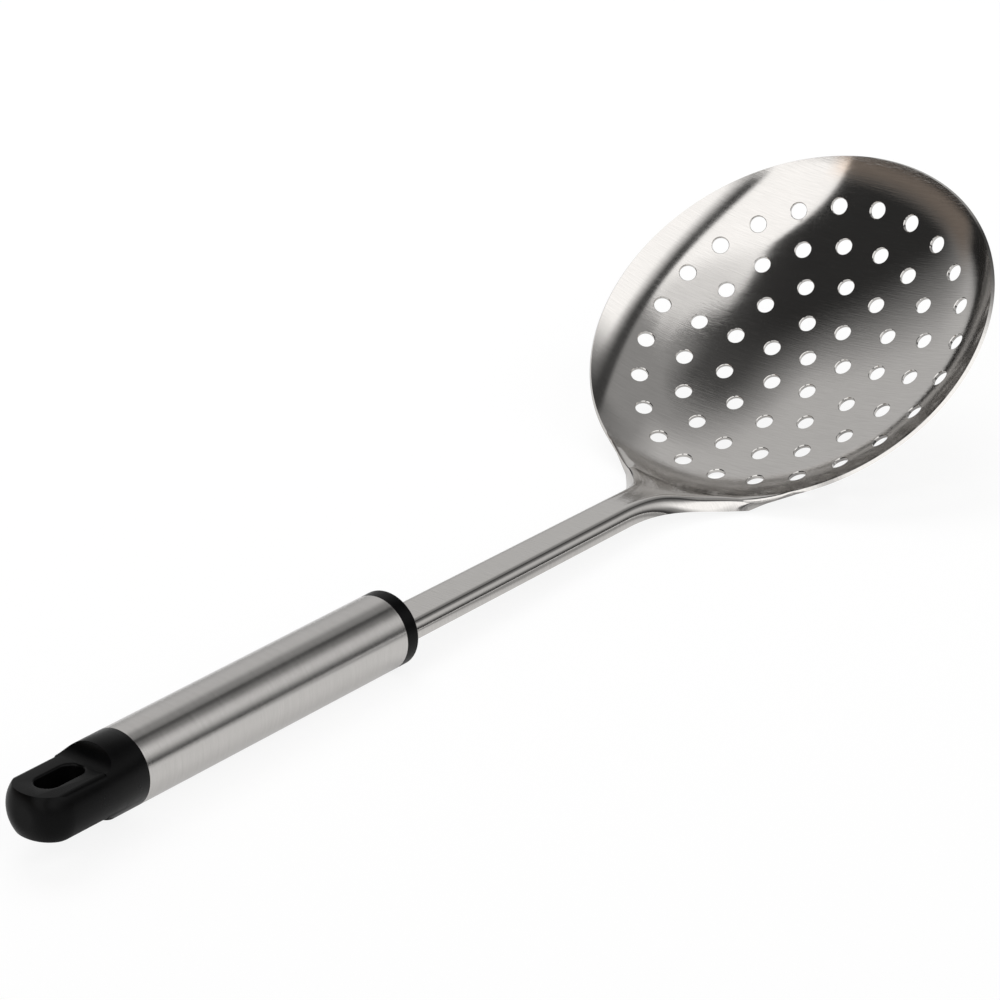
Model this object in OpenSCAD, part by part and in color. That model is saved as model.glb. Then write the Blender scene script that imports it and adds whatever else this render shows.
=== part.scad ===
// Perforated skimmer: a drawn steel bowl and channel stem in one pressing, held in a round
// steel handle between a plastic collar and a plastic end cap with a hanging slot.

/* [Bowl] */
// Radius of the shallow floor, at the middle of the sheet
floor_radius = 143; // [120:1:180]
// Distance from the centre, along the sheet, over which the floor's radius runs
floor_reach = 41; // [30:0.5:48]
// Radius of the side wall, at the middle of the sheet
wall_radius = 43; // [36:1:70]
// Distance from the centre to the rim, along the sheet
rim_reach = 62.8; // [58:0.1:70]
// Thickness of the steel sheet
sheet = 1; // [0.8:0.1:1.4]
// Tilt of the bowl against the handle
bowl_tilt = 35.7; // [28:0.1:40]
// Height of the bowl's lowest inner point above the handle's axis, square to the handle
bowl_rise = 15.1; // [12:0.1:18]

/* [Drain holes] */
// Distance between the rings of holes, and between neighbours on a ring, along the sheet
hole_pitch = 12.1; // [10:0.1:12.4]
// Number of rings round the central hole
hole_rings = 4; // [2:1:4]
// Diameter of a hole
hole_d = 4.8; // [3:0.1:6]

/* [Stem] */
// Width of the channel where it enters the collar
stem_w = 13.4; // [11:0.1:15]
// Width of the channel where the neck begins
stem_neck_w = 12.4; // [10.5:0.1:14]
// Depth of the channel
stem_h = 4.5; // [4:0.1:6]
// Outside radius of the channel's two folds
fold_r = 2.7; // [2:0.1:3.2]
// Height of the channel's top face above the handle's axis, at the collar
stem_top = 1.9; // [1:0.1:3]
// Drop of the channel from the collar to the neck
stem_drop = 0.3; // [0:0.1:1]
// Length of the tang that the handle hides
tang_l = 32; // [20:1:40]

/* [Neck] */
// Distance from the bowl's centre to the start of the neck, along the handle
neck_reach = 91; // [86:1:110]
// Distance from the bowl's centre to the ears, along the handle
ear_reach = 57; // [55:0.5:60]
// Distance of an ear from the middle plane
ear_y = 20.9; // [18:0.1:24]
// Distance of an ear below the handle's axis
ear_low = 6.05; // [5:0.05:7]
// Height of the folded flange beside the neck
flange_h = 4.4; // [3.5:0.1:5.5]
// Outward lean of the flange where the neck flares
flange_lean = 1.3; // [0.5:0.1:2]
// Distance along the sheet over which the bowl rises to the level of the stem
rise_reach = 44; // [36:1:44]

/* [Handle] */
// Outside diameter of the handle tube
tube_d = 20; // [18:0.1:24]
// Wall of the handle tube
tube_wall = 0.8; // [0.6:0.1:1.2]
// Length of the handle tube
tube_l = 94; // [80:1:130]
// Distance from the bowl's centre to the collar's front face
collar_reach = 182.5; // [150:0.5:210]
// Visible length of the collar
collar_l = 4.5; // [3:0.1:8]
// Radius on the collar's front edge
collar_edge_r = 0.8; // [0.5:0.1:2]
// Length of the collar's plug inside the tube
plug_l = 26; // [14:1:30]
// Gap between the tang and the walls of its slot
tang_clear = 0.1; // [0.05:0.05:0.2]
// Gap between a plug and the inside of the tube
plug_clear = 0.1; // [0.05:0.05:0.2]

/* [End cap] */
// Visible length of the end cap
cap_l = 32.2; // [28:0.1:40]
// Length of the round part in front of the scoops
cap_round_l = 8.5; // [6:0.1:11]
// Thickness of the flat tail
tail_h = 11.6; // [9:0.1:13]
// Radius of the scoops that lead down to the flats
scoop_r = 4.2; // [3:0.1:6]
// Radius on the long edges of the tail
tail_edge_r = 2; // [1:0.1:2.5]
// Radius on the end of the tail
tail_end_r = 7.5; // [6:0.1:9]
// Length of the hanging slot
slot_l = 13.8; // [11:0.1:15]
// Width of the hanging slot
slot_w = 6.7; // [5:0.1:8]
// Distance from the tail's end to the middle of the slot
slot_setback = 12.4; // [11.5:0.1:14]
// Length of the cap's plug inside the tube
cap_plug_l = 14; // [8:1:20]

/* [Hidden] */
$fn = 96;

// Places along the handle, which lies on the X axis with the bowl's centre over x = 0
neck_x = -neck_reach;
collar_x = -collar_reach;
tube_x = collar_x - collar_l;
cap_x = tube_x - tube_l;
end_x = cap_x - cap_l;
tube_r = tube_d / 2;
bore_r = tube_r - tube_wall;
plug_r = bore_r - plug_clear;
neck_top = stem_top - stem_drop;
neck_low = neck_top - stem_h;

// Bowl section: slopes in degrees, and the centre of the wall's arc
floor_turn = floor_reach / floor_radius * 180 / PI;
rim_slope = floor_turn + (rim_reach - floor_reach) / wall_radius * 180 / PI;
wall_cx = (floor_radius - wall_radius) * sin(floor_turn);
wall_cz = floor_radius - (floor_radius - wall_radius) * cos(floor_turn);

// The lip rises from the bowl behind the last ring of holes and runs on into the neck. Its
// angles are measured from the stem: a flat middle, the web, and the folds out to the ears.
lip_reach = hole_pitch * hole_rings + hole_d / 2 + 1;
lip_flat_angle = 12;
web_angle = 17.5;
flare_angle = 33;

// At its border the lip dives into the bowl's sheet, and inside it stands a hair proud
lip_inset = 0.04;
lip_proud = 0.02;
lip_lap = 2;

// Pull of the neck's edge away from the ear and from the stem, and how far the web's end
// stands above the crest at the ear and below it behind the ear
ear_pull = [-11, -8.8, 0.75];
neck_pull = [17, 0, 0];
ear_bulge = 0.3;
rib_h = 0.4;

// Share of the neck's length that the rows take up to the ears, along the middle plane
ear_share = 0.03;

// Rows and columns of the sheet
lip_rows = 8;
ear_rows = 4;
flange_rows = 24;
web_steps = 8;
fold_steps = 8;

// Tilt that brings the bowl and the collar's lower edge to one level
touch_cx = -wall_cx * cos(bowl_tilt) - wall_cz * sin(bowl_tilt);
touch_cz = -wall_cx * sin(bowl_tilt) + wall_cz * cos(bowl_tilt) + bowl_rise;
touch_x = collar_x - collar_edge_r;
touch_d = norm([touch_cx - touch_x, touch_cz + tube_r]);
rest_tip = atan2(touch_cz + tube_r, touch_cx - touch_x)
    - asin((wall_radius + sheet / 2) / touch_d);

// Place of the tilted part: its lowest point at z = 0 and the middle of its length at x = 0
far_rim = bowl_point(rim_reach, 180, -sheet / 2);
rim_end = far_rim[0] * cos(rest_tip) + far_rim[2] * sin(rest_tip);
tail_end = (end_x + tail_end_r) * cos(rest_tip) - (tube_r - tail_end_r) * sin(rest_tip)
    - tail_end_r;
rest_x = -(rim_end + tail_end) / 2;
rest_z = touch_x * sin(rest_tip) + tube_r * cos(rest_tip);

function mix(a, b, t) = a * (1 - t) + b * t;
function clamp01(t) = min(max(t, 0), 1);
function ease(t) = let (u = clamp01(t)) u * u * u * (u * (6 * u - 15) + 10);
function unit(v) = v / norm(v);
function bezier(p, t) = let (u = 1 - t)
    u * u * u * p[0] + 3 * u * u * t * p[1] + 3 * u * t * t * p[2] + t * t * t * p[3];

// Slope, radius and height of the sheet's middle at a distance s from the centre. Past the
// rim the sheet runs on straight.
function slope(s) = s <= floor_reach ? s / floor_radius * 180 / PI
    : floor_turn + (min(s, rim_reach) - floor_reach) / wall_radius * 180 / PI;
function dish_r(s) = (s <= floor_reach ? floor_radius * sin(slope(s))
    : wall_cx + wall_radius * sin(slope(s))) + max(s - rim_reach, 0) * cos(rim_slope);
function dish_z(s) = (s <= floor_reach ? floor_radius * (1 - cos(slope(s)))
    : wall_cz - wall_radius * cos(slope(s))) + max(s - rim_reach, 0) * sin(rim_slope);

// Point of the bowl at distance s and angle a from the stem, up above the sheet's middle
function bowl_point(s, a, up) = let (
    r = dish_r(s) - up * sin(slope(s)),
    z = dish_z(s) + up * cos(slope(s)))
    [-r * cos(a) * cos(bowl_tilt) - z * sin(bowl_tilt), r * sin(a),
     -r * cos(a) * sin(bowl_tilt) + z * cos(bowl_tilt) + bowl_rise];

// Point of the lip: the bowl's point, lifted part of the way to the top of the stem
function rise(s, a) = ease((s - lip_reach) / rise_reach)
    * (1 - ease((abs(a) - lip_flat_angle) / (flare_angle - lip_flat_angle)));
function lip_point(s, a, up) = let (p = bowl_point(s, a, up))
    [p[0], p[1], mix(p[2], neck_top, rise(s, a))];

module arc_wedge(r, a0, a1) {
    polygon([[0, 0], r * [sin(a0), -cos(a0)], r * [sin(a1), -cos(a1)]]);
}

// Arc of the sheet in section, between two angles from straight down
module arc_strip(r, a0, a1) {
    intersection() {
        difference() {
            circle(r + sheet / 2, $fn = 360);
            circle(r - sheet / 2, $fn = 360);
        }
        arc_wedge(1.2 * r, a0, a1);
    }
}

// Section of the bowl: the floor's arc meets the wall's straight below the wall's centre, and
// both are then turned to their slope. It starts inside the central hole.
module dish_section() {
    translate([wall_cx, wall_cz]) rotate(floor_turn) {
        translate([0, floor_radius - wall_radius])
            arc_strip(floor_radius, slope(hole_d / 4) - floor_turn, 0);
        arc_strip(wall_radius, 0, rim_slope - floor_turn);
    }
}

module dish() {
    // The lip replaces the wall inside its own border, where its outermost row and columns end
    open_reach = lip_reach + 1.2 * lip_lap;
    open_angle = flare_angle - 1.2 * (flare_angle - web_angle) / fold_steps;
    difference() {
        rotate_extrude($fn = 180) dish_section();
        rotate([0, 0, 180 - open_angle])
            rotate_extrude(angle = 2 * open_angle, $fn = 180)
                translate([wall_cx, wall_cz])
                    arc_wedge(1.3 * wall_radius, slope(open_reach), rim_slope + 5);
        for (k = [0 : hole_rings])
            for (i = [0 : max(6 * k, 1) - 1])
                rotate([0, 0, 30 + 360 * i / max(6 * k, 1)])
                    translate([dish_r(k * hole_pitch), 0, dish_z(k * hole_pitch)])
                        rotate([0, -slope(k * hole_pitch), 0])
                            cylinder(d = hole_d, h = 4 * sheet, center = true, $fn = 32);
    }
}

// Two triangles on four points of p, split along the shorter diagonal
function halves(p, q) = norm(p[q[0]] - p[q[2]]) <= norm(p[q[1]] - p[q[3]])
    ? [[q[0], q[1], q[2]], [q[0], q[2], q[3]]]
    : [[q[0], q[1], q[3]], [q[1], q[2], q[3]]];

// Closed sheet between two grids of points with the same rows and columns
module sheet_body(top, bottom) {
    m = len(top);
    n = len(top[0]);
    low = m * n;
    last = low - n;
    p = concat([for (r = top) for (q = r) q], [for (r = bottom) for (q = r) q]);
    quads = concat(
        [for (i = [0 : n : last - n]) for (j = [i : i + n - 2]) [j, j + n, j + n + 1, j + 1]],
        [for (i = [low : n : low + last - n]) for (j = [i : i + n - 2])
            [j, j + 1, j + n + 1, j + n]],
        [for (i = [0 : n : last - n]) [i, low + i, low + i + n, i + n]],
        [for (i = [n - 1 : n : last - 1]) [i, i + n, low + i + n, low + i]],
        [for (j = [0 : n - 2]) [j, j + 1, low + j + 1, low + j]],
        [for (j = [last : last + n - 2]) [j, low + j, low + j + 1, j + 1]]);
    polyhedron(points = p, faces = [for (q = quads) for (f = halves(p, q)) f]);
}

// Angles of the columns across the lip
half_angles = concat(
    [for (j = [1 : web_steps]) web_angle * j / web_steps],
    [for (j = [1 : fold_steps]) mix(web_angle, flare_angle, j / fold_steps)]);
lip_angles = concat(
    [for (j = [web_steps + fold_steps - 1 : -1 : 0]) -half_angles[j]], [0], half_angles);

// Rows of the lip on the upper side, or on the lower side for side = -1
function lip_half(s, a) =
    s == lip_reach || (abs(a) == flare_angle && s < rim_reach) ? sheet / 2 - lip_inset
    : sheet / 2 + lip_proud;
function lip_grid(side) = [for (i = [0 : lip_rows])
    let (s = i == 0 ? lip_reach : mix(lip_reach + lip_lap, rim_reach, (i - 1) / (lip_rows - 1)))
    [for (a = lip_angles) lip_point(s, a, side * lip_half(s, a))]];
function rim_point(a) = lip_point(rim_reach, a, sheet / 2 + lip_proud);
function rim_shift(a) = lip_point(rim_reach, a, -sheet / 2 - lip_proud) - rim_point(a);

// Lower edge of the flange, and the crest of the fold above it, from the ear to the stem
ear = [-ear_reach, ear_y, -ear_low];
neck_edge = [neck_x, stem_neck_w / 2, neck_low];
neck_crest = [neck_x, stem_neck_w / 2, neck_top];
flare_edge = [ear, ear + ear_pull, neck_edge + neck_pull, neck_edge];
flare_crest = [
    ear + [-0.4 * flange_lean, -0.5 * flange_lean, 0.66 * flange_h],
    ear + ear_pull + [0.25 * flange_lean, -3.4 * flange_lean, 0.9 * flange_h],
    neck_crest + neck_pull,
    neck_crest];

// Level direction from the flange's edge in under the web, at share u of the flare
function edge_inward(u) = let (
    d = bezier(flare_edge, min(u + 0.01, 1)) - bezier(flare_edge, max(u - 0.01, 0)))
    unit([-d[1], d[0], 0]);

// Guide points of the fold at share u of the flare: the web's end, two that round off the
// crest, and the lower edge
function fold_guides(u) = let (
    edge = bezier(flare_edge, u),
    crest = bezier(flare_crest, u),
    inward = unit(mix([0, -1, 0], edge_inward(u), ease(u))),
    end = crest + fold_r * inward
        + [0, 0, mix(ear_bulge, -rib_h * (1 - ease((u - 0.25) / 0.5)), ease(u / 0.4))])
    [end, mix(end, crest, 0.75), mix(crest, edge, 0.15), edge];

// Way from the upper side to the lower one at share b of the fold: straight down under the
// web, and level along inward behind the flange
function fold_shift(inward, b) = let (down = [0, 0, -1])
    sheet * bezier([down, down + 0.75 * inward, 0.85 * down + inward, inward], b);

// Web between the middle plane and its end, at share b of the way
function web_point(mid, end, b) =
    [mix(mid[0], end[0], b * b), end[1] * b, mix(mid[2], end[2], b * b)];

// One row of the neck toward +Y, on the upper side for low = 0 and on the lower side for
// low = 1. It lies at share out of the way from the rim to the ears, along straight lines, or
// past the ears at share u of the flare.
function neck_row(out, u, low) = let (
    t = mix(ear_share * out, 1, u),
    guides = fold_guides(u),
    inward = edge_inward(u),
    end = mix(rim_point(web_angle), guides[0], out),
    along = lip_point(rim_reach + t * (neck_reach - ear_reach), 0, sheet / 2 + lip_proud),
    mid = [mix(along[0], neck_x, t * t * t), 0, along[2]],
    keep = 1 - ease(t / 0.3))
    concat(
        [for (j = [0 : web_steps]) let (b = j / web_steps, a = b * web_angle)
            web_point(mid, end, b)
                + keep * (rim_point(a) - web_point(rim_point(0), rim_point(web_angle), b))
                + low * mix(rim_shift(a), fold_shift(inward, 0), out)],
        [for (j = [1 : fold_steps]) let (b = j / fold_steps, a = mix(web_angle, flare_angle, b))
            mix(rim_point(a), bezier(guides, b), out)
                + low * mix(rim_shift(a), fold_shift(inward, b), out)]);

// One row of the plain stem at x, with its own width and height
function stem_row(x, low) = let (
    t = clamp01((x - neck_x) / (collar_x - neck_x)),
    w = mix(stem_neck_w, stem_w, t) / 2,
    top = mix(neck_top, stem_top, t),
    end = [x, w - fold_r, top],
    crest = [x, w, top],
    edge = [x, w, top - stem_h])
    concat(
        [for (j = [0 : web_steps]) [x, (w - fold_r) * j / web_steps, top - low * sheet]],
        [for (j = [1 : fold_steps])
            bezier([end, mix(end, crest, 0.75), mix(crest, edge, 0.15), edge], j / fold_steps)
                + low * fold_shift([0, -1, 0], j / fold_steps)]);

function both_sides(h) = concat(
    [for (j = [len(h) - 1 : -1 : 1]) [h[j][0], -h[j][1], h[j][2]]], h);

// Rows of the neck, the stem and the hidden tang
function sheet_rows(low) = concat(
    [for (i = [1 : ear_rows]) both_sides(neck_row(i / ear_rows, 0, low))],
    [for (i = [1 : flange_rows]) both_sides(neck_row(1, pow(i / flange_rows, 1.5), low))],
    [for (x = [neck_x - 4, (neck_x + collar_x) / 2, collar_x, collar_x - tang_l])
        both_sides(stem_row(x, low))]);

// Lip, neck, stem and tang as one bent sheet
module neck_and_stem() {
    sheet_body(concat(lip_grid(1), sheet_rows(0)), concat(lip_grid(-1), sheet_rows(1)));
}

module skimmer_head() {
    color("lightgray") {
        translate([0, 0, bowl_rise]) rotate([0, -bowl_tilt, 0]) dish();
        neck_and_stem();
    }
}

// Points [y, z] of one side of the tang's section, moved out by c, with its ends c lower
function grown(low, c) = let (
    row = [for (p = both_sides(stem_row(collar_x, low))) [p[1], p[2]]],
    line = concat([row[0] - [0, c]], row, [row[len(row) - 1] - [0, c]]),
    last = len(line) - 1)
    [for (j = [0 : last]) let (d = line[min(j + 1, last)] - line[max(j - 1, 0)])
        line[j] + (low ? -c : c) * unit([-d[1], d[0]])];

// Section of the tang, grown by c on every side
module tang_section(c) {
    lower = grown(1, c);
    polygon(concat(grown(0, c), [for (j = [len(lower) - 1 : -1 : 0]) lower[j]]));
}

module front_collar() {
    color([0.13, 0.13, 0.14])
        difference() {
            translate([collar_x, 0, 0]) rotate([0, -90, 0])
                rotate_extrude() {
                    square([tube_r - collar_edge_r, collar_l]);
                    translate([0, collar_edge_r]) square([tube_r, collar_l - collar_edge_r]);
                    translate([tube_r - collar_edge_r, collar_edge_r]) circle(collar_edge_r);
                    square([plug_r, collar_l + plug_l]);
                }
            translate([collar_x - tang_l - 1, 0, 0]) rotate([90, 0, 90])
                linear_extrude(tang_l + 2) tang_section(tang_clear);
        }
}

module handle_tube() {
    color("silver")
        translate([tube_x, 0, 0]) rotate([0, -90, 0])
            rotate_extrude() translate([bore_r, 0]) square([tube_wall, tube_l]);
}

// Section of the flat tail: two flats, the round sides, and soft corners between
module tail_section() {
    corner_z = tail_h / 2 - tail_edge_r;
    corner_y = sqrt(pow(tube_r - tail_edge_r, 2) - corner_z * corner_z);
    square([2 * corner_y, tail_h], center = true);
    for (y = [-1, 1]) for (z = [-1, 1])
        translate([y * corner_y, z * corner_z]) circle(tail_edge_r);
    intersection() {
        circle(tube_r);
        union() for (y = [-1, 1])
            polygon([[0, 0], 2 * [y * corner_y, corner_z], 2 * [y * corner_y, -corner_z]]);
    }
}

module end_cap() {
    scoop_x = cap_x - cap_round_l - scoop_r;
    slot_x = end_x + slot_setback;
    color([0.13, 0.13, 0.14])
        difference() {
            union() {
                // Round front part and the plug in the tube
                translate([scoop_x, 0, 0]) rotate([0, 90, 0])
                    cylinder(r = tube_r, h = cap_x - scoop_x);
                translate([scoop_x, 0, 0]) rotate([0, 90, 0])
                    cylinder(r = plug_r, h = cap_x - scoop_x + cap_plug_l);
                // Flat tail with a rounded end
                intersection() {
                    translate([end_x, 0, 0]) rotate([0, 90, 0])
                        rotate_extrude() {
                            translate([0, tail_end_r]) square([tube_r, cap_x - end_x - tail_end_r]);
                            square([tube_r - tail_end_r, tail_end_r]);
                            intersection() {
                                translate([tube_r - tail_end_r, tail_end_r]) circle(tail_end_r);
                                square([tube_r, tail_end_r]);
                            }
                        }
                    translate([end_x, 0, 0]) rotate([90, 0, 90])
                        linear_extrude(scoop_x - end_x + 1) tail_section();
                }
            }
            for (s = [-1, 1])
                translate([scoop_x, 0, s * (tail_h / 2 + scoop_r)]) rotate([90, 0, 0])
                    cylinder(r = scoop_r, h = 3 * tube_r, center = true);
            // Hanging slot
            translate([slot_x, 0, 0]) {
                cube([slot_l - slot_w, slot_w, 2 * tube_r], center = true);
                for (s = [-1, 1])
                    translate([s * (slot_l - slot_w) / 2, 0, 0])
                        cylinder(d = slot_w, h = 2 * tube_r, center = true);
            }
        }
}

module at_rest() {
    translate([rest_x, 0, rest_z]) rotate([0, rest_tip, 0]) children();
}

at_rest() skimmer_head();
at_rest() front_collar();
at_rest() handle_tube();
at_rest() end_cap();
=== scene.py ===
# %% [markdown]
# A kitchen skimmer: a shallow steel bowl full of drain holes, whose sheet runs on through a
# flared neck into a channel stem. The stem goes through a black plastic collar into a round
# steel handle, and a black end cap with a hanging slot closes the handle.
#
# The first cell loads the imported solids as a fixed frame. The scene's lengths are in metres, and
# mm turns millimetres into them.

import math

import bmesh
import bpy
from mathutils import Matrix, Vector


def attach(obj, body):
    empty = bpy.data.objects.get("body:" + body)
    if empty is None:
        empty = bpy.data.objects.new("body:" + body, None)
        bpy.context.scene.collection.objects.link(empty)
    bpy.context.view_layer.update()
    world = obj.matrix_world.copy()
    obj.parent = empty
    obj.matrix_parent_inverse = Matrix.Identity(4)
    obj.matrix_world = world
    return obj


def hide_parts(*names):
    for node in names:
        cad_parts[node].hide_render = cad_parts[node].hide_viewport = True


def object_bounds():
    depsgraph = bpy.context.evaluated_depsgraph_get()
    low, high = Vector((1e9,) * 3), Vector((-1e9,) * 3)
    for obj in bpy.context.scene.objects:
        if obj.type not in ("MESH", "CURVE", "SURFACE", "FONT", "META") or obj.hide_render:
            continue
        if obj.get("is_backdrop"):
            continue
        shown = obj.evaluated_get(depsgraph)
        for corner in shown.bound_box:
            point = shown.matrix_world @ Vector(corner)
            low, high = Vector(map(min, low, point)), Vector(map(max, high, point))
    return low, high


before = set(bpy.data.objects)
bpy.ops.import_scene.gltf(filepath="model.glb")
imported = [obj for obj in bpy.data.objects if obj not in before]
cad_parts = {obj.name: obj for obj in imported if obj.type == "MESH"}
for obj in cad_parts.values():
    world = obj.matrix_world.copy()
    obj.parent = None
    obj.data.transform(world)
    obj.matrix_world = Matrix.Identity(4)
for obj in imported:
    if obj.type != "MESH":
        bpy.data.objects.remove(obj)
cad_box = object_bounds()
mm = 0.001
print("solids:", sorted(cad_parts))

# %% [markdown]
# The skimmer is seen from behind the handle's end, from its left and above, and from far away
# through a long lens, so the handle hardly tapers. The camera's place was solved from the holes
# and the handle's outline. It leans by less than two degrees.

# %% Set up the camera
camera_data = bpy.data.cameras.new("camera")
camera_data.sensor_width = 36
camera_data.lens = 157.351
camera_data.clip_start = 0.05
camera = bpy.data.objects.new("camera", camera_data)
camera.location = (-0.789791, -0.652871, 0.491108)
camera.rotation_euler = [math.radians(a) for a in (65.67087, 1.70078, -51.17328)]
bpy.context.scene.collection.objects.link(camera)
bpy.context.scene.camera = camera
print("camera:", [round(c, 3) for c in camera.location])

# %% [markdown]
# The bowl's section is two arcs: a shallow floor and a rounder wall. A drawn bowl keeps the
# length of its sheet, so every place on it is found from the distance along the sheet and the
# angle round the centre. Lengths are in millimetres here, in the handle's frame, which lies
# along X and is tipped a little at rest. The values are those of the solids, but the rim stops
# 0.01 mm short of theirs, so that it stays inside their box.

# %% Bowl section
floor_radius, floor_reach = 143, 41
wall_radius, rim_reach = 43, 62.79
sheet = 1.0
bowl_tilt, bowl_rise = math.radians(35.7), 15.1
floor_turn = floor_reach / floor_radius
wall_cx = (floor_radius - wall_radius) * math.sin(floor_turn)
wall_cz = floor_radius - (floor_radius - wall_radius) * math.cos(floor_turn)


def mix(a, b, t):
    return a * (1 - t) + b * t


def ease(t):
    u = min(max(t, 0), 1)
    return u * u * u * (u * (6 * u - 15) + 10)


def bezier(p, t):
    u = 1 - t
    return p[0] * u ** 3 + p[1] * 3 * u * u * t + p[2] * 3 * u * t * t + p[3] * t ** 3


def slope(s):
    if s <= floor_reach:
        return s / floor_radius
    return floor_turn + (min(s, rim_reach) - floor_reach) / wall_radius


def bowl_point(s, a, up):
    """Place at distance s along the sheet and angle a from the stem, up above its middle."""
    past_rim = max(s - rim_reach, 0)
    tilt = slope(s)
    if s <= floor_reach:
        r0, z0, radius = 0, floor_radius, floor_radius
    else:
        r0, z0, radius = wall_cx, wall_cz, wall_radius
    r = r0 + radius * math.sin(tilt) + past_rim * math.cos(tilt) - up * math.sin(tilt)
    z = z0 - radius * math.cos(tilt) + past_rim * math.sin(tilt) + up * math.cos(tilt)
    x, y = -r * math.cos(a), r * math.sin(a)
    return Vector((x * math.cos(bowl_tilt) - z * math.sin(bowl_tilt), y,
                   x * math.sin(bowl_tilt) + z * math.cos(bowl_tilt) + bowl_rise))


print("rim diameter:", round(2 * bowl_point(rim_reach, math.pi / 2, -sheet / 2).y, 1), "mm")

# %% [markdown]
# Behind the last ring of holes the sheet rises smoothly from the bowl to the stem's level.
# Outside the web between the two ears it stays the plain bowl.

# %% Lip between the bowl and the neck
hole_pitch, hole_rings, hole_d = 12.1, 4, 4.8
neck_reach, ear_reach = 91, 57
stem_w, stem_neck_w, stem_h = 13.4, 12.4, 4.5
stem_top, stem_drop = 1.9, 0.3
collar_reach, tang_l = 182.5, 32
neck_x, collar_x = -neck_reach, -collar_reach
neck_top = stem_top - stem_drop
hole_margin, rise_reach = 1, 44
lip_reach = hole_pitch * hole_rings + hole_d / 2 + hole_margin
flat_angle, web_angle, flare_angle = (math.radians(a) for a in (12, 17.5, 33))


def head_point(s, a, up):
    p = bowl_point(s, a, up)
    outside = ease((abs(a) - flat_angle) / (flare_angle - flat_angle))
    lift = ease((s - lip_reach) / rise_reach) * (1 - outside)
    p.z = mix(p.z, neck_top, lift)
    return p


def rim_point(a):
    return head_point(rim_reach, a, sheet / 2)


def rim_shift(a):
    return head_point(rim_reach, a, -sheet / 2) - rim_point(a)


print("lip starts", round(lip_reach, 1), "mm from the centre")

# %% [markdown]
# The neck's edges are folded down. Two curves lead the fold from each ear to the stem: the cut
# edge and the crest above it. Each row of the neck runs from the middle plane across the flat
# web, rounds the fold and ends at the cut edge. The lower side is the same row, moved down
# under the web and inwards behind the flange.
#
# A fold has three measures: how far it reaches in from the crest, and where its two guide
# points lie. The tight fold is the ear's and fits the collar's slot, and the round one is the
# stem's. Each run is the share of the neck over which one form turns into the next.

# %% Neck and stem rows
flange_h, flange_lean = 4.4, 1.3
ear = Vector((-ear_reach, 20.9, -6.05))
neck_edge = Vector((neck_x, stem_neck_w / 2, neck_top - stem_h))
neck_crest = Vector((neck_x, stem_neck_w / 2, neck_top))
ear_pull, neck_pull = Vector((-11, -8.8, 0.75)), Vector((17, 0, 0))
flare_edge = [ear, ear + ear_pull, neck_edge + neck_pull, neck_edge]
flare_crest = [
    ear + Vector((-0.4 * flange_lean, -0.5 * flange_lean, 0.66 * flange_h)),
    ear + ear_pull + Vector((0.25 * flange_lean, -3.4 * flange_lean, 0.9 * flange_h)),
    neck_crest + neck_pull,
    neck_crest]
ear_bulge, rib_h, ear_share = 0.3, 0.4, 0.03
down = Vector((0, 0, -1))
tight_fold, round_fold = (2.7, 0.75, 0.15), (3.4, 0.69, 0.39)
narrow_x = collar_x + 2.5
bulge_run, rib_start, rib_run, round_run, rim_run = 0.4, 0.25, 0.5, 0.55, 0.3


def edge_inward(u):
    d = bezier(flare_edge, min(u + 0.01, 1)) - bezier(flare_edge, max(u - 0.01, 0))
    return Vector((-d.y, d.x, 0)).normalized()


def fold_curve(crest, edge, inward, rise, roundness):
    """The fold's section: tight at roundness 0, and nearly a quarter circle at 1."""
    reach, over, under = (mix(a, b, roundness) for a, b in zip(tight_fold, round_fold))
    end = crest + inward * reach + Vector((0, 0, rise))
    return [end, mix(end, crest, over), mix(crest, edge, under), edge]


def fold_guides(u):
    inward = mix(Vector((0, -1, 0)), edge_inward(u), ease(u)).normalized()
    rib = -rib_h * (1 - ease((u - rib_start) / rib_run))
    rise = mix(ear_bulge, rib, ease(u / bulge_run))
    crest, edge = bezier(flare_crest, u), bezier(flare_edge, u)
    return fold_curve(crest, edge, inward, rise, ease(u / round_run))


def fold_shift(inward, b):
    return bezier([down, down + inward * 0.75, down * 0.85 + inward, inward], b) * sheet


def web_point(mid, end, b):
    return Vector((mix(mid.x, end.x, b * b), end.y * b, mix(mid.z, end.z, b * b)))


def neck_place(out, u, b, c):
    """Upper point and the way to the lower one: b runs across the web, then c round the fold."""
    t = mix(ear_share * out, 1, u)
    guides, inward = fold_guides(u), edge_inward(u)
    if c > 0:
        a = mix(web_angle, flare_angle, c)
        return (mix(rim_point(a), bezier(guides, c), out),
                mix(rim_shift(a), fold_shift(inward, c), out))
    end = mix(rim_point(web_angle), guides[0], out)
    along = head_point(rim_reach + t * (neck_reach - ear_reach), 0, sheet / 2)
    mid = Vector((mix(along.x, neck_x, t ** 3), 0, along.z))
    keep = 1 - ease(t / rim_run)
    a = b * web_angle
    return (web_point(mid, end, b)
            + (rim_point(a) - web_point(rim_point(0), rim_point(web_angle), b)) * keep,
            mix(rim_shift(a), fold_shift(inward, 0), out))


def stem_place(x, b, c):
    t = min(max((x - neck_x) / (collar_x - neck_x), 0), 1)
    w, top = mix(stem_neck_w, stem_w, t) / 2, mix(neck_top, stem_top, t)
    inward = Vector((0, -1, 0))
    roundness = ease((x - collar_x) / (narrow_x - collar_x))
    crest, edge = Vector((x, w, top)), Vector((x, w, top - stem_h))
    curve = fold_curve(crest, edge, inward, 0, roundness)
    if c <= 0:
        return Vector((x, curve[0].y * b, top)), down * sheet
    return bezier(curve, c), fold_shift(inward, c)


print("ear at", [round(v, 1) for v in ear], "mm")

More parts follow.
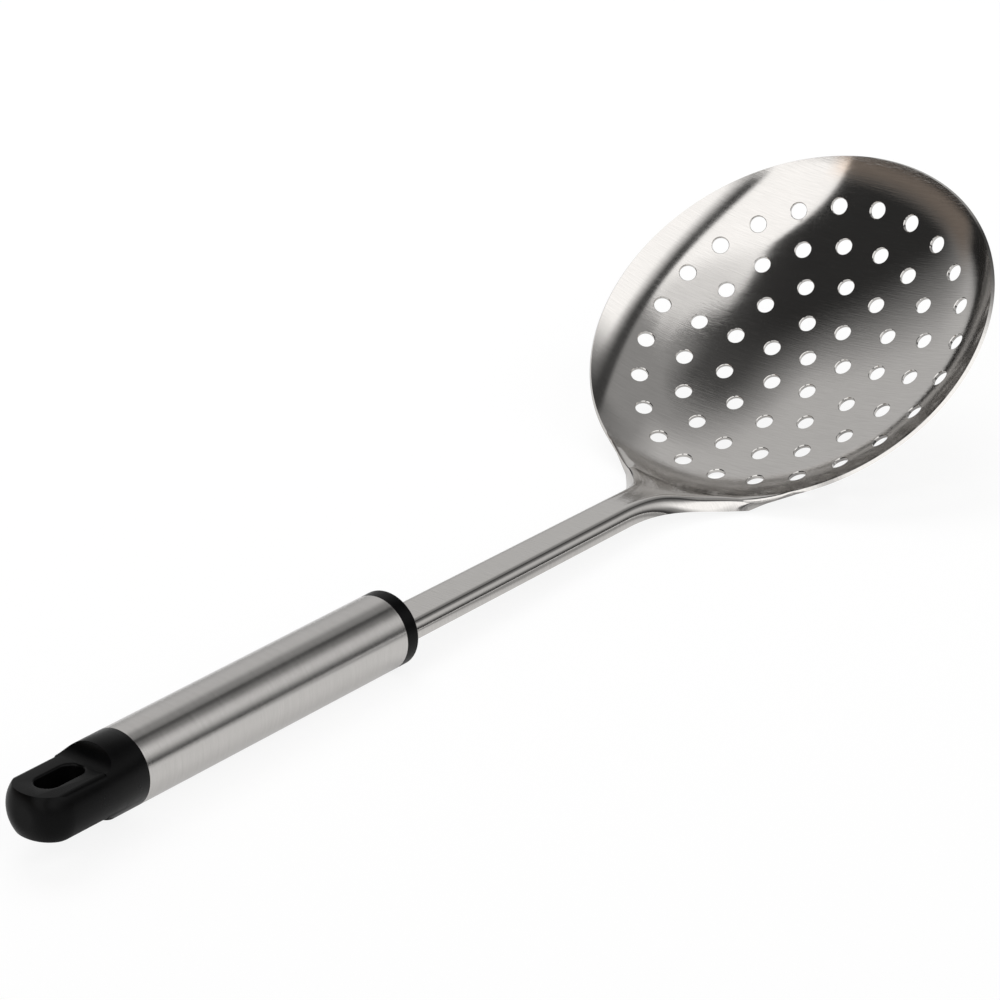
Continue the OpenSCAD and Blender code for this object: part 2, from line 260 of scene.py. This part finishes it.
# %% [markdown]
# At rest the skimmer lies on the bowl and on the collar's lower edge, which tips the handle by
# 1.4 degrees. This matrix turns the handle's frame, in millimetres, into the scene's.

# %% Rest position
rest_tilt, rest_x, rest_z = math.radians(1.43078), 136.563, 5.42001
at_rest = (Matrix.Translation((rest_x * mm, 0, rest_z * mm))
           @ Matrix.Rotation(rest_tilt, 4, "Y") @ Matrix.Scale(mm, 4))
print("bowl centre at", [round(v, 4) for v in at_rest @ bowl_point(0, 0, 0)])

# %% [markdown]
# The head starts as two flat grids, like the sheet before it is pressed. One becomes the bowl,
# with its two side edges meeting opposite the stem, and the other the neck and the stem. They
# share the points along the rim between the ears, so they merge into one sheet. Each point
# carries the way to the lower side, and its place on the flat blank for the grain. The flange's
# rows crowd towards the ear, where it curves most.

# %% Grids for the bowl and the neck
web_columns, fold_columns, wall_columns = 16, 20, 120
side_columns = web_columns + fold_columns + wall_columns
floor_rows, wall_rows, ear_rows, flange_rows = 30, 18, 8, 44
open_rows, narrowing_rows, tang_rows = 20, 4, 2
stem_rows = open_rows + narrowing_rows + tang_rows
head_start, flat_flange_w, crowding = hole_d / 4, 7, 1.5


def column_angle(j):
    """Angle of column j of one half, denser over the neck."""
    if j <= web_columns:
        return web_angle * j / web_columns
    if j <= web_columns + fold_columns:
        return mix(web_angle, flare_angle, (j - web_columns) / fold_columns)
    return mix(flare_angle, math.pi, (j - web_columns - fold_columns) / wall_columns)


def row_reach(i):
    if i <= floor_rows:
        return mix(head_start, floor_reach, i / floor_rows)
    return mix(floor_reach, rim_reach, (i - floor_rows) / wall_rows)


def sheet_grid(bm, columns, rows, place):
    """A flat grid whose points move to place(column, row), columns counted from the middle."""
    shift = bm.verts.layers.float_vector["shift"]
    blank = bm.verts.layers.float_vector["blank"]
    grid = bmesh.ops.create_grid(bm, x_segments=2 * columns, y_segments=rows, size=1)
    for v in grid["verts"]:
        j = round(v.co.x * columns)
        i = round((v.co.y + 1) / 2 * rows)
        side = -1 if j < 0 else 1
        point, way, flat = place(abs(j), i)
        v.co = (point.x, side * point.y, point.z)
        v[shift] = (way.x, side * way.y, way.z)
        v[blank] = (flat[0], side * flat[1], 0)


def bowl_place(j, i):
    s, a = row_reach(i), column_angle(j)
    top = head_point(s, a, sheet / 2)
    return top, head_point(s, a, -sheet / 2) - top, (-s * math.cos(a), s * math.sin(a))


def stem_stop(k):
    """Where row k of the stem stands: even rows, close ones before the collar, then the tang."""
    if k <= open_rows:
        return mix(neck_x, narrow_x, k / open_rows)
    if k <= open_rows + narrowing_rows:
        return mix(narrow_x, collar_x, (k - open_rows) / narrowing_rows)
    return mix(collar_x, collar_x - tang_l, (k - open_rows - narrowing_rows) / tang_rows)


def neck_and_stem_place(j, i):
    b, c = min(j / web_columns, 1), max(j - web_columns, 0) / fold_columns
    if i <= ear_rows + flange_rows:
        u = max(i - ear_rows, 0) / flange_rows
        top, way = neck_place(min(i / ear_rows, 1), u ** crowding, b, c)
    else:
        top, way = stem_place(stem_stop(i - ear_rows - flange_rows), b, c)
    return top, way, (top.x, top.y + flat_flange_w * c)


head_mesh = bmesh.new()
head_mesh.verts.layers.float_vector.new("shift")
head_mesh.verts.layers.float_vector.new("blank")
sheet_grid(head_mesh, side_columns, floor_rows + wall_rows, bowl_place)
sheet_grid(head_mesh, web_columns + fold_columns, ear_rows + flange_rows + stem_rows,
           neck_and_stem_place)
bmesh.ops.remove_doubles(head_mesh, verts=head_mesh.verts, dist=1e-4)
print("upper side:", len(head_mesh.faces), "faces,",
      sum(e.is_boundary for e in head_mesh.edges), "open edges")

# %% [markdown]
# Extruding the whole sheet gives it a lower side and closes its edge. The lower points then
# move by the way that each one carries. A real sheet's cut edge is tumbled a little round, and
# the bevel asks for that. It falls far short: the clamp holds it to 0.05 mm, and it runs before
# the normals are renewed, so the edge stays nearly sharp. In a trial, renewing them first and
# leaving out the clamp took off about a full round's volume; its shape wasn't looked at.

# %% Thickness and the cut edge
edge_round = 0.2
shift = head_mesh.verts.layers.float_vector["shift"]
cut = head_mesh.edges.layers.int.new("cut")
for e in head_mesh.edges:
    e[cut] = e.is_boundary
lower = bmesh.ops.extrude_face_region(head_mesh, geom=head_mesh.faces[:])
for item in lower["geom"]:
    if isinstance(item, bmesh.types.BMVert):
        item.co += item[shift]
corners = [e for e in head_mesh.edges if e[cut] and len(e.link_faces) == 2
           and e.verts[0].co.xy.length > 2 * hole_d]
bmesh.ops.bevel(head_mesh, geom=corners, offset=edge_round, offset_type="OFFSET", segments=3,
                profile=0.5, affect="EDGES", clamp_overlap=True, material=-1)
bmesh.ops.recalc_face_normals(head_mesh, faces=head_mesh.faces)
print("closed sheet:", len(head_mesh.faces), "faces,",
      sum(not e.is_manifold for e in head_mesh.edges), "open edges")

# %% [markdown]
# The blank's coordinates become a UV map, in millimetres. The grain of the steel follows them,
# as it follows the real sheet over every bend.

# %% Grain coordinates
grain = head_mesh.loops.layers.uv.new("grain")
blank = head_mesh.verts.layers.float_vector["blank"]
for face in head_mesh.faces:
    for loop in face.loops:
        loop[grain].uv = loop.vert[blank].xy
head_mesh.transform(at_rest)
head_data = bpy.data.meshes.new("pressed_head")
head_mesh.to_mesh(head_data)
head_mesh.free()
head = bpy.data.objects.new("pressed_head", head_data)
bpy.context.scene.collection.objects.link(head)
print("head box:", [round(d, 4) for d in head.dimensions])

# %% [markdown]
# The holes are punched in six-fold rings, six more in each ring. One punch is a spun profile
# that widens a little at both faces of the sheet, so each hole gets a tiny chamfer. All its
# copies are cut away in one exact boolean.

# %% Punch the drain holes
punch_steps, punch_half = 40, 1.6
chamfer, mouth = 0.12, 0.7
ring_turn = math.radians(30)
straight = sheet / 2 - chamfer
wide_r = hole_d / 2 + mouth
profile = [(0, -punch_half), (wide_r, -punch_half), (wide_r, -straight - mouth),
           (hole_d / 2, -straight), (hole_d / 2, straight),
           (wide_r, straight + mouth), (wide_r, punch_half), (0, punch_half)]
punch = bmesh.new()
points = [punch.verts.new((r, 0, z)) for r, z in profile]
for first, second in zip(points, points[1:]):
    punch.edges.new((first, second))
bmesh.ops.spin(punch, geom=punch.verts[:] + punch.edges[:], cent=(0, 0, 0), axis=(0, 0, 1),
               angle=2 * math.pi, steps=punch_steps, use_merge=True)
bmesh.ops.remove_doubles(punch, verts=punch.verts, dist=1e-5)
bmesh.ops.recalc_face_normals(punch, faces=punch.faces)
punch_data = bpy.data.meshes.new("punch")
punch.to_mesh(punch_data)
punch.free()

punches = bmesh.new()
for k in range(hole_rings + 1):
    count = max(6 * k, 1)
    for i in range(count):
        a = ring_turn + 2 * math.pi * i / count
        s = k * hole_pitch
        centre = bowl_point(s, a, 0)
        out = (bowl_point(s, a, 1) - centre).normalized()
        upright = out.to_track_quat("Z", "Y").to_matrix().to_4x4()
        copy = bmesh.new()
        copy.from_mesh(punch_data)
        copy.transform(at_rest @ Matrix.Translation(centre) @ upright)
        moved = bpy.data.meshes.new("punch_copy")
        copy.to_mesh(moved)
        copy.free()
        punches.from_mesh(moved)
        bpy.data.meshes.remove(moved)
punches_data = bpy.data.meshes.new("punches")
punches.to_mesh(punches_data)
punches.free()
punches_object = bpy.data.objects.new("punches", punches_data)
bpy.context.scene.collection.objects.link(punches_object)


def cut_away(target, tool):
    """Subtracts the tool from the target for good, and removes the tool."""
    boolean = target.modifiers.new("cut", "BOOLEAN")
    boolean.operation = "DIFFERENCE"
    boolean.solver = "EXACT"
    boolean.object = tool
    evaluated = target.evaluated_get(bpy.context.evaluated_depsgraph_get())
    result = bpy.data.meshes.new_from_object(evaluated)
    target.modifiers.clear()
    old, target.data = target.data, result
    bpy.data.meshes.remove(old)
    bpy.data.objects.remove(tool)


cut_away(head, punches_object)
print("punched head:", len(head.data.polygons), "faces")


# %% [markdown]
# Smooth shading hides the facets, but a sharp corner must stay sharp: every edge whose two
# faces meet at more than a set angle is marked.

# %% Smooth shading with sharp corners
def shade(obj, corner):
    bm = bmesh.new()
    bm.from_mesh(obj.data)
    for f in bm.faces:
        f.smooth = True
    for e in bm.edges:
        e.smooth = e.is_manifold and e.calc_face_angle(0) < math.radians(corner)
    bm.to_mesh(obj.data)
    bm.free()


shade(head, 38)
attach(head, "root")
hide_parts("skimmer_head")
print("head done")


# %% [markdown]
# Materials are node trees. Written out by hand they are long, so a small class wraps a socket
# and turns sums and products into Math nodes.

# %% Shader maths
class Value:
    def __init__(self, tree, socket):
        self.tree, self.socket = tree, socket

    def math(self, operation, *others):
        return build(self.tree, "ShaderNodeMath", {"operation": operation}, [self, *others])

    def __add__(self, other): return self.math("ADD", other)
    def __radd__(self, other): return self.math("ADD", other)
    def __sub__(self, other): return self.math("SUBTRACT", other)
    def __rsub__(self, other): return constant(self.tree, other).math("SUBTRACT", self)
    def __mul__(self, other): return self.math("MULTIPLY", other)


def constant(tree, number):
    node = tree.nodes.new("ShaderNodeValue")
    node.outputs[0].default_value = number
    return Value(tree, node.outputs[0])


def build(tree, kind, settings, inputs, output=0):
    """Adds one node: settings first, then the values or links of its sockets."""
    node = tree.nodes.new(kind)
    for name, value in settings.items():
        setattr(node, name, value)
    pairs = inputs.items() if isinstance(inputs, dict) else enumerate(inputs)
    for name, value in pairs:
        if isinstance(value, Value):
            tree.links.new(value.socket, node.inputs[name])
        else:
            node.inputs[name].default_value = value
    return Value(tree, node.outputs[output])


def material(name):
    made = bpy.data.materials.new(name)
    made.use_nodes = True
    made.node_tree.nodes.clear()
    return made, made.node_tree


def noise(tree, place, scale, detail, turn=(0, 0, 0)):
    """Noise stretched by its three scales, per metre or per millimetre of the coordinates."""
    mapped = build(tree, "ShaderNodeMapping", {"vector_type": "POINT"},
                   {"Vector": place, "Rotation": turn, "Scale": scale})
    return build(tree, "ShaderNodeTexNoise", {"noise_dimensions": "3D"},
                 {"Vector": mapped, "Scale": 1.0, "Detail": detail, "Roughness": 0.6})


def between(value, low, high):
    return build(value.tree, "ShaderNodeMapRange", {"clamp": True},
                 {"Value": value, "From Min": low, "From Max": high})


def blend(tree, factor, first, second):
    node = tree.nodes.new("ShaderNodeMix")
    node.data_type = "RGBA"
    for place, value in ((0, factor), (6, first), (7, second)):
        socket = node.inputs[place]
        if isinstance(value, Value):
            tree.links.new(value.socket, socket)
        else:
            socket.default_value = value
    return Value(tree, node.outputs[2])


def output(tree, kind, shader):
    tree.links.new(shader.socket, tree.nodes.new(kind).inputs["Surface"])


def relief(tree, strength, distance, height):
    """Bumps from a height, whose full range stands for the distance, in metres."""
    return build(tree, "ShaderNodeBump", {},
                 {"Strength": strength, "Distance": distance, "Height": height})


def surface(made, tree, inputs):
    output(tree, "ShaderNodeOutputMaterial", build(tree, "ShaderNodeBsdfPrincipled", {}, inputs))
    return made


def steel(made, tree, colour, rough, bump):
    return surface(made, tree, {"Base Color": colour, "Metallic": 1.0, "Roughness": rough,
                                "Normal": bump})


# %% [markdown]
# The sheet was brushed before it was pressed, with fine lines that run across the part. They
# are noise on the blank's coordinates, very long one way and very fine the other. Two sizes of
# line give the real finish its faint streaks, and slow clouds vary the polish.

# %% Brushed steel of the head
def brushed_head():
    made, tree = material("brushed_steel_head")
    flat = build(tree, "ShaderNodeUVMap", {"uv_map": "grain"}, {})
    fine = noise(tree, flat, (6.5, 0.22, 1.0), 2.0)
    wide = noise(tree, flat, (2.6, 0.12, 1.0), 1.0)
    cloud = noise(tree, flat, (0.05, 0.05, 0.05), 2.0)
    lines = fine * 0.5 + wide * 0.5
    tone = between(lines, 0.3, 0.7)
    colour = blend(tree, tone, (0.62, 0.60, 0.578, 1), (0.71, 0.688, 0.664, 1))
    rough = 0.06 + between(lines, 0.25, 0.75) * 0.04 + between(cloud, 0.3, 0.7) * 0.03
    return steel(made, tree, colour, rough, relief(tree, 0.35, 0.00006, lines))


def paint(obj, made):
    obj.data.materials.clear()
    obj.data.materials.append(made)


paint(head, brushed_head())
print("head painted")


# %% [markdown]
# The handle tube is ground round and round, so its fine lines run about the handle. They widen
# the reflections only along the handle, and leave the long bands across it crisp.

# %% Ground steel of the handle tube
def ground_tube():
    made, tree = material("ground_steel_tube")
    place = build(tree, "ShaderNodeTexCoord", {}, {}, "Object")
    fine = noise(tree, place, (5200, 160, 160), 3.0)
    wide = noise(tree, place, (2200, 120, 120), 2.0, (0, math.radians(3), math.radians(2)))
    cloud = noise(tree, place, (60, 60, 60), 2.0)
    lines = fine * 0.6 + wide * 0.4
    colour = blend(tree, between(lines, 0.3, 0.7), (0.62, 0.602, 0.582, 1), (0.70, 0.68, 0.66, 1))
    rough = 0.14 + between(lines, 0.25, 0.75) * 0.06 + between(cloud, 0.3, 0.7) * 0.03
    return steel(made, tree, colour, rough, relief(tree, 0.5, 0.00008, lines))


paint(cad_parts["handle_tube"], ground_tube())
print("tube painted")


# %% [markdown]
# Collar and end cap are moulded from black plastic with a satin skin. A very fine grain breaks
# up its shine, and handling has polished it unevenly.

# %% Black plastic
def black_plastic(name):
    made, tree = material(name)
    place = build(tree, "ShaderNodeTexCoord", {}, {}, "Object")
    grain_noise = noise(tree, place, (5000, 5000, 5000), 2.0)
    cloud = noise(tree, place, (120, 120, 120), 3.0)
    scuff = noise(tree, place, (900, 140, 140), 3.0)
    colour = blend(tree, between(cloud, 0.35, 0.7),
                   (0.0012, 0.0012, 0.0013, 1), (0.0022, 0.0022, 0.0023, 1))
    rough = 0.26 + between(cloud, 0.3, 0.7) * 0.08 + between(scuff, 0.55, 0.75) * 0.06
    bump = relief(tree, 0.25, 0.00003, grain_noise * 0.7 + scuff * 0.3)
    return surface(made, tree, {"Base Color": colour, "Roughness": rough, "IOR": 1.45,
                                "Specular IOR Level": 0.12, "Normal": bump})


paint(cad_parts["front_collar"], black_plastic("collar_plastic"))
print("collar painted")

# %% [markdown]
# A moulded cap has no knife edges: the mould leaves the slot's rim and the scoops' corners
# round, and those round edges catch a thin line of light. The cap's solid is copied, its flat
# facets are joined, and its sharp edges are bevelled in three groups, because one bevel's clamp
# holds for all its edges. The slot's rim and the edges at the tube get their full round. On the
# tail's corners narrow faces make the clamp leave less than 0.02 mm, which only softens the
# shading there.

# %% End cap with soft edges
slot_round, joint_round, tail_round = 0.7 * mm, 0.15 * mm, 0.8 * mm
joint_x = (at_rest @ Vector((-281, 0, 0))).x - 1 * mm
slot_middle, slot_box = at_rest @ Vector((-300.7, 0, 0)), Vector((7.4, 3.9, 20)) * mm


def in_slot(place):
    return all(abs(place[i] - slot_middle[i]) < slot_box[i] for i in range(3))


cap_mesh = bmesh.new()
cap_mesh.from_mesh(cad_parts["end_cap"].data)
bmesh.ops.remove_doubles(cap_mesh, verts=cap_mesh.verts, dist=1e-6)
bmesh.ops.dissolve_limit(cap_mesh, angle_limit=math.radians(0.5), verts=cap_mesh.verts,
                         edges=cap_mesh.edges)
sharp = [e for e in cap_mesh.edges if e.is_manifold and e.calc_face_angle(0) > math.radians(25)]
at_slot = [e for e in sharp if all(in_slot(v.co) for v in e.verts)]
at_joint = [e for e in sharp if max(v.co.x for v in e.verts) > joint_x]
on_tail = [e for e in sharp if e not in at_joint and e not in at_slot]
print("slot rim edges:", len(at_slot))
for edges, soft_edge, steps in (
        (at_slot, slot_round, 5), (at_joint, joint_round, 2), (on_tail, tail_round, 5)):
    bmesh.ops.bevel(cap_mesh, geom=edges, offset=soft_edge, offset_type="OFFSET", segments=steps,
                    profile=0.5, affect="EDGES", clamp_overlap=True, material=-1)
bmesh.ops.recalc_face_normals(cap_mesh, faces=cap_mesh.faces)
cap_data = bpy.data.meshes.new("moulded_cap")
cap_mesh.to_mesh(cap_data)
cap_mesh.free()
cap = bpy.data.objects.new("moulded_cap", cap_data)
bpy.context.scene.collection.objects.link(cap)
shade(cap, 35)
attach(cap, "root")
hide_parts("end_cap")
paint(cap, black_plastic("cap_plastic"))
print("rounded edges:", len(sharp), "faces:", len(cap_data.polygons))

# %% [markdown]
# The floor is a plain pale sheet with the skimmer's soft shadow on it. The camera sees it as
# nearly white. The steel sees it a little darker, dark at its far end, and with a painted shadow
# below the neck: there its glow is turned down for reflections only, as if the bowl and the stem
# shaded it, because the real steel is darker in those places. Places are in metres.

# %% Floor
floor_half = 6
floor_mesh = bmesh.new()
bmesh.ops.create_grid(floor_mesh, x_segments=1, y_segments=1, size=floor_half)
floor_data = bpy.data.meshes.new("floor")
floor_mesh.to_mesh(floor_data)
floor_mesh.free()
floor = bpy.data.objects.new("floor", floor_data)
bpy.context.scene.collection.objects.link(floor)
floor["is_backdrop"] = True

made, tree = material("pale_floor")
path = tree.nodes.new("ShaderNodeLightPath")
by_eye, by_steel = (Value(tree, path.outputs[n]) for n in ("Is Camera Ray", "Is Glossy Ray"))
axes = tree.nodes.new("ShaderNodeSeparateXYZ")
tree.links.new(build(tree, "ShaderNodeTexCoord", {}, {}, "Object").socket, axes.inputs[0])
along, across = (Value(tree, axes.outputs[n]) for n in ("X", "Y"))
far_end = between(across, 0.35, 0.6)
# painted shadow: a patch of floor below the neck, darker only in the steel's reflections
painted_floor_shadow = (between(along, -0.02, 0.02) * between(along, 0.16, 0.12)
             * between(across, -0.01, -0.03))
matt = build(tree, "ShaderNodeBsdfDiffuse", {}, {"Color": (0.8, 0.8, 0.8, 1)})
strength = by_eye * 1.08 + by_steel * (0.9 - far_end * 0.87) * (1 - painted_floor_shadow * 0.6)
white = build(tree, "ShaderNodeEmission", {}, {"Color": (1, 1, 1, 1), "Strength": strength})
glow = by_eye * 0.8 + by_steel * (0.4 + far_end * 0.6).math("MAXIMUM", painted_floor_shadow)
pale = build(tree, "ShaderNodeMixShader", {}, [glow, matt, white])
output(tree, "ShaderNodeOutputMaterial", pale)
floor_data.materials.append(made)
print("floor laid")

# %% [markdown]
# The studio is a soft pale room. Polished steel shows what stands round it, so the room needs
# light and dark places. They are soft-edged patches of the sky, each with its brightness, given
# by a range of compass angles (0 is where the bowl points), a range of heights and the width of
# the soft border on each side, all in degrees. The window and the dark bar are straight things,
# so their long edges are great circles of the sky. Later patches cover earlier ones. The camera
# itself sees plain white.

# %% Studio sky
world = bpy.data.worlds.new("studio")
bpy.context.scene.world = world
world.use_nodes = True
tree = world.node_tree
tree.nodes.clear()
toward = build(tree, "ShaderNodeTexCoord", {}, {}, "Generated")
axes = tree.nodes.new("ShaderNodeSeparateXYZ")
tree.links.new(toward.socket, axes.inputs[0])
east, north, height = (Value(tree, axes.outputs[n]) for n in range(3))
compass = north.math("ARCTAN2", east) * (180 / math.pi)
above = height.math("ARCSINE") * (180 / math.pi)


def patch(start, stop, low, high, soft_start, soft_stop, soft_low, soft_high):
    """1 inside a range of compass angles and heights, with a soft border on each side."""
    middle = (start + stop) / 2
    off = (compass - middle + 540).math("FLOORED_MODULO", 360) - 180
    return (between(off, start - middle - soft_start / 2, start - middle + soft_start / 2)
            * between(off, stop - middle + soft_stop / 2, stop - middle - soft_stop / 2)
            * between(above, low - soft_low / 2, low + soft_low / 2)
            * between(above, high + soft_high / 2, high - soft_high / 2))


def straight_edge(normal, offset, soft):
    """1 on one side of a straight edge in the sky, 0 on the other."""
    off = east * normal[0] + north * normal[1] + height * normal[2] - offset
    return between(off, -soft / 2, soft / 2)


bar_side = (-0.24, 0.86, 0.44)
bar = (straight_edge(bar_side, -0.04, 0.13) * (1 - straight_edge(bar_side, 0.105, 0.03))
       * patch(-168, 8, 12, 88, 10, 20, 10, 4))
window = straight_edge((0, -1, -0.1), -0.283, 0.022)
low_room = patch(100, 168, -12, 13, 10, 8, 4, 8)
sky = constant(tree, 0.34)
for mask, level in [
        (patch(22, 101, 10, 60, 12, 34, 10, 14), 0.60),  # pale wall on the bowl's left
        (patch(12, 60, -10, 16, 8, 8, 4, 8), 0.50),  # the foot of that wall
        (low_room, 0.20),  # dim, warm-coloured low part at the back left
        (patch(66, 152, 62, 79, 16, 8, 12, 6), 0.08),  # dark ceiling
        (patch(103, 172, 12, 72, 26, 6, 10, 14), 0.032),  # dark wall at the back left
        (patch(58, 101, -12, 8, 6, 8, 4, 5), 0.02),  # dark strip at its foot
        (patch(-64, -18, 12, 40, 10, 14, 20, 10), 0.62),  # pale wall on the bowl's right
        (window * patch(-215, -112, 2, 74, 6, 20, 6, 8), 1.40),  # window behind
        (window * patch(-125, -54, 24, 62, 20, 30, 12, 8), 1.40),  # window on the right
        (window * patch(-212, -118, 62, 84, 6, 16, 10, 10), 0.95),  # its top, less bright
        (patch(-158, -114, -3, 10, 8, 8, 3, 5), 0.12),  # dark sill under the window
        (patch(-32, 6, 32, 50, 12, 26, 10, 8), 0.17),  # grey board beyond the bowl
        (patch(-90, -8, 0, 10, 20, 20, 3, 12), 0.04),  # dark low strip on the right
        (bar, 0.06)]:
    sky = sky * (1 - mask) + mask * level
path = tree.nodes.new("ShaderNodeLightPath")
seen = Value(tree, path.outputs["Is Camera Ray"])
sky = sky * (1 - seen) + seen
hue = blend(tree, low_room * (1 - seen), (1, 1, 1, 1), (1, 0.84, 0.72, 1))
background = build(tree, "ShaderNodeBackground", {}, {"Color": hue, "Strength": sky})
output(tree, "ShaderNodeOutputWorld", background)
print("sky nodes:", len(tree.nodes))

# %% [markdown]
# One large soft lamp above lights the plastic and gives the floor its shadow. It is hidden from
# reflections, because the polished bowl would show it as a white blotch.

# %% Lamp
lamp_data = bpy.data.lights.new("overhead", "AREA")
lamp_data.shape = "RECTANGLE"
lamp_data.size, lamp_data.size_y = 0.9, 0.7
lamp_data.energy = 5
lamp = bpy.data.objects.new("overhead", lamp_data)
lamp.location = (0.35, 0.5, 1.1)
lamp.rotation_euler = (Vector((0, 0, 0)) - lamp.location).to_track_quat("-Z", "Y").to_euler()
lamp.visible_glossy = False
bpy.context.scene.collection.objects.link(lamp)
bpy.context.scene.view_settings.view_transform = "Standard"
print("lamp at", [round(v, 2) for v in lamp.location])

# %% [markdown]
# The last cell notes the size of the solids and of the finished model.

# %% Sizes and finish
model_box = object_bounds()
grown = [round((m - c) / mm, 3) for a, b in zip(cad_box, model_box) for c, m in zip(a, b)]
print("model grows by", grown, "mm")
